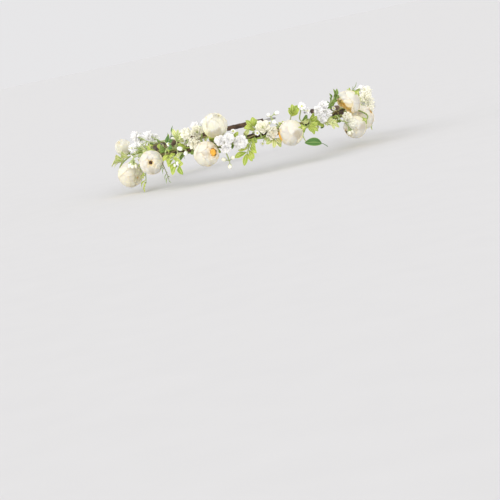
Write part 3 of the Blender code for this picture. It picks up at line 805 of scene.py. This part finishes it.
def put_petals(piece, centre, turn, count, first, length, width, cup, rng, notch=0.1, ruffle=0.06, lift=0.0):
    for i in range(count):
        angle = first + math.tau * (i + 0.25 * (rng.random() - 0.5)) / count
        size = length * (0.92 + 0.16 * rng.random())
        grid = small_petal(size, width, cup, notch, ruffle, math.tau * rng.random())
        spin = Matrix.Rotation(angle, 3, "Z")
        spots = moved(moved(grid, spin, (0, 0, lift)), turn, centre)
        piece.sheet(spots, FLORET_PETAL_THICKNESS, 0, seed=rng.random())


def star_head(piece, centre, turn, radius, rng):
    put_petals(piece, centre, turn, 5, rng.random(), radius, radius * 0.92, 0.12, rng, notch=0.14)
    put_petals(piece, centre, turn, 4, rng.random(), radius * 0.55, radius * 0.5, 0.6, rng, lift=HEART_LIFT)
    dome = [(0.0009 * math.cos(t), HEART_LIFT + 0.0008 * math.sin(t)) for t in np.linspace(0, 1.4, 4)]
    piece.lathe(centre, turn, dome, 1, sides=9)


# each form's own radius and, as shares of that, how far down its petals start; how much the cup shortens
# them, notch and ruffle; then its rings: petal length, petal width, cup and petals
RINGED_HEADS = {
    # a full little flower whose rings are shorter and steeper inwards
    "ruffled": (1.2, 0.0, 0.0, 0.18, 0.12, (
        (0.8, 0.68, -0.7, 5), (1.0, 0.85, 0.0, 6), (0.9, 0.765, 0.45, 6), (0.72, 0.612, 1.0, 5),
        (0.5, 0.425, 1.9, 4),
    )),
    # a pale half-open bud whose long pleated petals stand up and spread a little at their tips
    "fan": (1.35, 0.3, 0.55, -0.06, 0.1, (
        (0.8, 0.46, 0.9, 8), (0.86, 0.46, 1.5, 7), (0.8, 0.46, 2.3, 6), (0.7, 0.46, 3.6, 4),
    )),
    # a half-open flower: broad upright petals round a green throat
    "bell": (1.45, 0.25, 0.6, -0.05, 0.07, (
        (0.95, 0.8075, 0.55, 5), (0.95, 0.8075, 1.0, 5), (0.8, 0.68, 1.7, 4), (0.55, 0.4675, 2.6, 3),
    )),
}


def ringed_head(form, piece, centre, turn, radius, rng):
    grow, sink, shortening, notch, ruffle, rings = RINGED_HEADS[form]
    radius *= grow
    for length, width, cup, count in rings:
        put_petals(
            piece, centre, turn, count, rng.random() * math.tau,
            radius * length / math.hypot(1, shortening * cup), radius * width, cup, rng,
            notch=notch, ruffle=ruffle, lift=-sink * radius if sink else HEART_LIFT,
        )


def bud_head(piece, centre, turn, radius, rng):
    """A closed bud with petal seams, in a green cup."""
    length = BUD_STRETCH * radius
    heights = np.linspace(-1.35, 1.45, 9)
    profile = [(radius * math.cos(t), length * math.sin(t)) for t in heights]
    piece.lathe(centre, turn, profile, 0, sides=16, ribs=4, rib_depth=0.07, seed=rng.random())
    cup = [(0.0004, -length * 1.12), (radius * 0.75, -length * 0.85), (radius * 1.04, -length * 0.35)]
    piece.lathe(centre, turn, cup, 2, sides=12)


def drop_head(piece, centre, turn, radius, rng):
    """A slim closed bud, rounder at its base, that hasn't opened yet."""
    bud_head(piece, centre, turn, radius * 0.62, rng)


HEAD_MAKERS = {form: partial(ringed_head, form) for form in RINGED_HEADS}
HEAD_MAKERS.update(star=star_head, bud=bud_head, drop=drop_head)


def make_floret(index, spec):
    name, finish, cluster, bound, place, heads, head_radius, spread, form = spec
    rng = np.random.default_rng(300 + index)
    bound_at, middle = station(cluster, bound), placed(cluster, place)
    face = outward(station(cluster, place[0]))
    head_radius, spread = head_radius * MM, spread * MM
    fork = middle - face * (FORK_SPREADS * spread + FORK_RADII * head_radius)
    turns, bend = stem_path(bound_at, fork, (fork - beside_band(bound_at)).normalized(), 12)
    piece = Piece()
    piece.tube(turns + bend, STEM_RADIUS * 0.85, 2, sides=8, seed=0.2)
    side = face.cross(Z_AXIS)
    for i in range(heads):
        angle = math.tau * (i + 0.25) / heads
        lean = side * math.cos(angle) + Z_AXIS * math.sin(angle)
        centre = middle + lean * spread
        direction = (face + HEAD_LEAN * lean).normalized() if heads > 1 else face
        turn = frame_facing(direction)
        HEAD_MAKERS[form](piece, centre, turn, head_radius, rng)
        foot = centre - direction * head_radius * (BUD_STRETCH if form == "bud" else 0.55)
        pull = STEM_PULL * (foot - fork).length
        rise = (centre - fork).normalized()
        stalk = interpolate_bezier(fork, fork + rise * pull, foot - direction * pull, foot, 7)
        stalk.append(centre - direction * head_radius * 0.02)
        radii = [STEM_RADIUS * 0.6] * 6 + [STEM_RADIUS * 0.9, STEM_RADIUS * 1.3]
        piece.tube(stalk, radii, 2, sides=7, seed=i / heads)
    spray = piece.build(f"{name}_spray", [FLORET_PETALS[finish], FLORET_HEART, PALE_STEM])
    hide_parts(name)
    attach(spray, "front")


# ---- leaves


LEAF_THICKNESS = 0.0003
SIDE_LEAF_SPACING = 2.6  # in points of the stem's bend
SIDE_LEAF_STAGGER = 0.7


def leaf_outline(v, form):
    """The blade's half width along it, as a share of its greatest."""
    if form == "tailed":
        blade = np.where(v < 0.62, np.sin(math.pi * np.minimum(v / 0.64, 1)) ** 0.75, 0.0)
        return blade + 0.07 * (1 - v) ** 0.4
    if form == "pointed":
        return np.sin(math.pi * (0.03 + 0.96 * v) ** 0.85)
    return np.sin(math.pi * (0.03 + 0.95 * v) ** 1.3) ** 0.72


def add_leaf(piece, base, direction, face, length, width, slot, rng, form="rounded", rows=13, cols=9):
    """A blade with a folded midrib that arches along its length."""
    turn = frame_along(direction, face)
    v, u = unit_grid(rows, cols)
    half = width / 2 * np.maximum(0.04, leaf_outline(v, form))
    bow = length * (0.10 + 0.08 * rng.random())
    sway = length * 0.14 * (rng.random() - 0.5)
    x = half * u + sway * v**2
    y = length * v * np.ones_like(u)
    z = bow * np.sin(math.pi * v) + 0.30 * half * np.abs(u) ** 1.3
    z = z + 0.05 * width * np.sin(math.pi * (3 * v + u)) * np.abs(u) - 0.25 * bow * v**3
    grid = np.stack([x, y, z], -1)
    piece.sheet(moved(grid, turn, base), LEAF_THICKNESS, slot, seed=rng.random())


def make_sprig(index, spec):
    name, finish, cluster, bound, tip_place, pairs, length, width = spec
    rng = np.random.default_rng(500 + index)
    bound_at, tip = station(cluster, bound), placed(cluster, tip_place)
    face = (outward(station(cluster, tip_place[0])) + LEAF_UPTURN * Z_AXIS).normalized()
    length, width = length * MM, width * MM
    along, out, up = tip_place
    lead = placed(cluster, (along - LONE_LEAF_RUN, out, up + LONE_LEAF_DROP))
    reach = (tip - (beside_band(bound_at) if pairs else lead)).normalized()
    end = tip - reach * length * TIP_LEAF_REACH
    turns, bend = stem_path(bound_at, end, reach)
    piece = Piece()
    radii = [STEM_RADIUS] * len(turns) + list(np.linspace(STEM_RADIUS, STEM_RADIUS * 0.55, len(bend)))
    piece.tube(turns + bend, radii, 1, sides=8, seed=0.7)
    if pairs:
        form = "pointed" if finish == "dark" else "rounded"
        add_leaf(piece, end - reach * STEM_RADIUS, reach, face, length, width, 0, rng, form)
    else:
        root = end - reach * 0.25 * length
        add_leaf(piece, root, reach, face, 1.3 * length, width * 1.1, 0, rng, "tailed", 21)
    side = reach.cross(face).normalized()
    rings = pairs + min(pairs, 2)
    for ring in range(rings):
        for way in (-1, 1):
            spot = bend[-2 - round(SIDE_LEAF_SPACING * ring + SIDE_LEAF_STAGGER * (way + 1))]
            lift = -0.1 + 0.9 * rng.random()
            direction = (reach + way * (0.8 + 0.5 * rng.random()) * side + lift * face).normalized()
            size = (0.85 - 0.06 * ring) * (0.85 + 0.3 * rng.random())
            root = spot + direction * 0.0012
            piece.tube([spot, root], STEM_RADIUS * 0.5, 1, sides=6)
            add_leaf(piece, root, direction, face, length * size, width * size * 1.15, 0, rng)
    sprig = piece.build(f"{name}_leaves", [LEAVES[finish], PALE_STEM])
    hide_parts(name)
    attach(sprig, "front")


VINE_LEAVES = [LEAVES[kind] for kind in ("green", "moss", "pale")]
VINE_MATERIALS = [FLORET_PETALS["white"], FLORET_HEART, TWIG, FRESH_STEM, *VINE_LEAVES]
VINE_LEAF_SLOTS = (4, 4, 5, 6)
VINE_ROLLS = (-80, 75, 20, -30)
VINE_END = 131.0
VINE_STEP = 5.5
VINE_POINTS = 260
VINE_OFFSET = 0.0008
VINE_FLOWER_SHARE = 0.16
VINE_FLOWER_RADIUS = 0.0021
FINE_STALK_RADIUS = 0.00035

# roll at the front, how often it sways, share of VINE_OFFSET in radius, material slot
VINE_STRANDS = (
    (-50, 2.2, 0.7, 3),
    (-100, 3.1, 1.0, 2),
    (35, 2.7, 0.8, 2),
    (-10, 1.7, 0.55, 3),
)


def make_vine(side_name, side):
    """Thin twigs wound along the band, with small leaves in the gaps between the blooms."""
    rng = np.random.default_rng(701 + side)
    piece = Piece()
    for strand, (first, twist, share, slot) in enumerate(VINE_STRANDS):
        path = []
        for i in range(VINE_POINTS + 1):
            angle = side * VINE_END * i / VINE_POINTS
            roll = math.radians(first + 50 * math.sin(twist * math.radians(angle) * 3 + strand))
            away = BAND_RADIUS + VINE_OFFSET * 0.8
            path.append(beside_band(angle, away * math.cos(roll), away * math.sin(roll)))
        piece.tube(path, VINE_OFFSET * share, slot, sides=8, seed=strand / 3)
    balls = [(placed(spec[1], spec[3]), spec[4] * MM) for spec in BLOOMS]
    steps = round(VINE_END / VINE_STEP)
    for i in range(steps):
        angle = side * VINE_END * (i + 0.5) / steps
        for first_roll in VINE_ROLLS:
            roll = math.radians(first_roll + 40 * (rng.random() - 0.5))
            up = Z_AXIS * math.sin(roll) + outward(angle) * math.cos(roll)
            along = angle + (rng.random() - 0.5) * VINE_STEP
            base = beside_band(along) + up * BAND_RADIUS * 1.05
            way = side * (1 if rng.random() < 0.5 else -1)
            lean = way * (0.6 + 0.7 * rng.random()) * band_tangent(angle)
            direction = (up + lean + 0.4 * outward(angle)).normalized()
            length = (5.5 + 2.5 * rng.random()) * MM
            tip = base + direction * length
            if any((tip - ball).length < size + 0.001 or (base - ball).length < size for ball, size in balls):
                continue
            if rng.random() < VINE_FLOWER_SHARE:
                piece.tube([base, tip], FINE_STALK_RADIUS, 3, sides=6)
                turn = frame_facing((direction + outward(angle)).normalized())
                star_head(piece, tip, turn, VINE_FLOWER_RADIUS, rng)
                continue
            slot = VINE_LEAF_SLOTS[rng.integers(4)]
            width = length * 0.52
            add_leaf(piece, base, direction, outward(angle), length, width, slot, rng, "rounded", 9, 7)
    vine = piece.build(f"vine_{side_name}", VINE_MATERIALS)
    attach(vine, "front")


# name, cluster, bound at, tip, needles, needle length in millimetres
TWIGS = [
    ("twig_01", "front_right", -21, (4, 8, 15), 5, 7),
    ("twig_02", "front_right", -17, (-8, 9, -21), 8, 5),
    ("twig_03", "left_side", -8, (-14, 9, 16), 8, 5),
    ("twig_04", "right_rear", 8, (14, 9, -15), 8, 6),
    ("twig_05", "left_rear", 10, (16, 9, 14), 8, 6),
]

TWIG_RADII = (0.0005, 0.0002)

# name, finish, cluster, bound at, middle of the buds, buds, bud radius and spread in millimetres
DROPPING_BUDS = [
    ("hanging_buds_01", "pale", "right_front", 12, (12, 17, -5), 7, 1.35, 5.5),
    ("hanging_buds_02", "white", "front_right", 6, (3, 8, -9), 4, 1.1, 3.5),
    ("hanging_buds_03", "pale", "left_side", -6, (-14, 15, -14), 5, 1.1, 4),
    ("hanging_buds_04", "pale", "right_side", -8, (-6, 12, -10), 6, 1.3, 5),
]


def make_twig(index, spec):
    """A thin dark-green twig with needle leaves along its outer half."""
    name, cluster, bound, tip_place, needles, length = spec
    rng = np.random.default_rng(800 + index)
    bound_at, tip = station(cluster, bound), placed(cluster, tip_place)
    reach = (tip - beside_band(bound_at)).normalized()
    turns, bend = stem_path(bound_at, tip, reach, 22)
    piece = Piece()
    radii = [TWIG_RADII[0]] * len(turns) + list(np.linspace(*TWIG_RADII, len(bend)))
    piece.tube(turns + bend, radii, 1, sides=7)
    face = outward(station(cluster, tip_place[0]))
    side = reach.cross(face).normalized()
    for i in range(needles):
        spot = bend[-2 - round(12 * i / needles)]
        way = 1 if i % 2 else -1
        lean = way * (0.5 + 0.3 * rng.random()) * side
        direction = (reach + lean + (rng.random() - 0.4) * face).normalized()
        size = length * MM * (0.75 + 0.4 * rng.random())
        add_leaf(piece, spot, direction, face, size, size * 0.17, 0, rng, "pointed", 9, 5)
    twig = piece.build(name, [LEAVES["dark" if index == 0 else "moss"], TWIG])
    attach(twig, "front")


def make_hanging_buds(index, spec):
    """Slim unopened buds on fine stalks that droop from one stem."""
    name, finish, cluster, bound, place, buds, radius, spread = spec
    rng = np.random.default_rng(900 + index)
    bound_at, middle = station(cluster, bound), placed(cluster, place)
    face = outward(station(cluster, place[0]))
    fork = middle - face * 0.4 * spread * MM + Z_AXIS * spread * MM
    turns, bend = stem_path(bound_at, fork, (fork - beside_band(bound_at)).normalized(), 12)
    piece = Piece()
    piece.tube(turns + bend, STEM_RADIUS * 0.7, 2, sides=7)
    side = face.cross(Z_AXIS)
    for i in range(buds):
        fan = math.tau * i / buds + 0.4 * rng.random()
        aim = (-Z_AXIS + 0.7 * math.cos(fan) * side + (0.35 + 0.4 * math.sin(fan)) * face).normalized()
        reach = spread * MM * (0.9 + 0.6 * rng.random())
        centre = fork + aim * reach
        droop = (aim - 0.5 * Z_AXIS).normalized()
        size = radius * MM * (0.85 + 0.3 * rng.random())
        foot = centre - droop * BUD_STRETCH * size
        stalk = interpolate_bezier(fork, fork + aim * 0.4 * reach, foot - droop * 0.3 * reach, foot, 7)
        piece.tube(stalk, FINE_STALK_RADIUS, 2, sides=6)
        bud_head(piece, centre, frame_facing(droop), size, rng)
    spray = piece.build(name, [FLORET_PETALS[finish], FLORET_HEART, PALE_STEM])
    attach(spray, "front")


# ---- stage, camera

FLOOR_GAP = 0.0004
FLOOR_RADIUS = 60.0
FLOOR_SIDES = 96
CAMERA_AZIMUTH = 22.0
CAMERA_ELEVATION = 7.0
CAMERA_ROLL = -12.0
CAMERA_DISTANCE = 1.4
CAMERA_LENS = 124.4
SENSOR_WIDTH = 36.0
CAMERA_RIGHT_SHIFT = 0.0008
CAMERA_UP_SHIFT = -0.0972


def make_floor():
    """A large pale disc, about as bright as the backdrop, so that hardly an edge shows between them."""
    low = min(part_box(name)[0][2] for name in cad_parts) - FLOOR_GAP
    ring = [math.tau * i / FLOOR_SIDES for i in range(FLOOR_SIDES)]
    rim = [(FLOOR_RADIUS * math.cos(a), FLOOR_RADIUS * math.sin(a), low) for a in ring]
    mesh = bpy.data.meshes.new("floor")
    mesh.from_pydata(rim, [], [range(FLOOR_SIDES)])
    floor = in_scene("floor", mesh)
    nodes = Nodes("floor")
    grain = nodes.noise(nodes.object_place(), 40.0, 3.0)
    nodes.set(Base_Color=nodes.mixed(grain, (0.65, 0.65, 0.655), (0.675, 0.675, 0.68)))
    nodes.set(Roughness=1.0, Specular_IOR_Level=0.0)
    mesh.materials.append(nodes.material)


def make_light(name, direction, spread, strength, colour):
    """A broad soft light from far away, so that the floor is lit evenly."""
    light = bpy.data.lights.new(name, "SUN")
    light.angle = math.radians(spread)
    light.energy = strength
    light.color = colour
    in_scene(name, light).rotation_euler = (-Vector(direction)).to_track_quat("-Z", "Y").to_euler()


def make_lights():
    make_light("key", (-1.2, -0.9, 0.9), 60.0, 1.15, (1.0, 0.98, 0.95))
    make_light("fill", (0.5, -1.2, 0.2), 70.0, 2.15, (1.0, 0.975, 0.94))
    make_light("side", (1.3, -0.3, 0.45), 80.0, 0.45, (1.0, 0.985, 0.96))
    world = bpy.data.worlds.new("studio")
    world.use_nodes = True
    backdrop = world.node_tree.nodes["Background"]
    backdrop.inputs["Color"].default_value = (0.80, 0.795, 0.805, 1)
    backdrop.inputs["Strength"].default_value = 1.0
    bpy.context.scene.world = world
    bpy.context.scene.view_settings.view_transform = "Standard"


def make_camera():
    azimuth, elevation, roll = (math.radians(a) for a in (CAMERA_AZIMUTH, CAMERA_ELEVATION, CAMERA_ROLL))
    level = Vector((math.cos(azimuth), math.sin(azimuth), 0))
    flat = math.cos(elevation)
    forward = Vector((-math.sin(azimuth) * flat, math.cos(azimuth) * flat, -math.sin(elevation)))
    upright = level.cross(forward)
    right = level * math.cos(roll) + upright * math.sin(roll)
    up = upright * math.cos(roll) - level * math.sin(roll)
    camera = bpy.data.cameras.new("camera")
    camera.lens = CAMERA_LENS
    camera.sensor_width = SENSOR_WIDTH
    pose = Matrix((right, up, -forward)).transposed().to_4x4()
    pose.translation = -forward * CAMERA_DISTANCE + right * CAMERA_RIGHT_SHIFT + up * CAMERA_UP_SHIFT
    bpy.context.scene.camera = in_scene("camera", camera)
    bpy.context.scene.camera.matrix_world = pose


# ---- main

make_camera()
for side_name, side in (("left", 1), ("right", -1)):
    make_band(side_name, side)
    make_eye(side_name, side)
    make_vine(side_name, side)
for make, table in (
    (make_bloom, BLOOMS),
    (make_floret, FLORETS),
    (make_sprig, SPRIGS),
    (make_twig, TWIGS),
    (make_hanging_buds, DROPPING_BUDS),
):
    for index, spec in enumerate(table):
        make(index, spec)
make_floor()
make_lights()
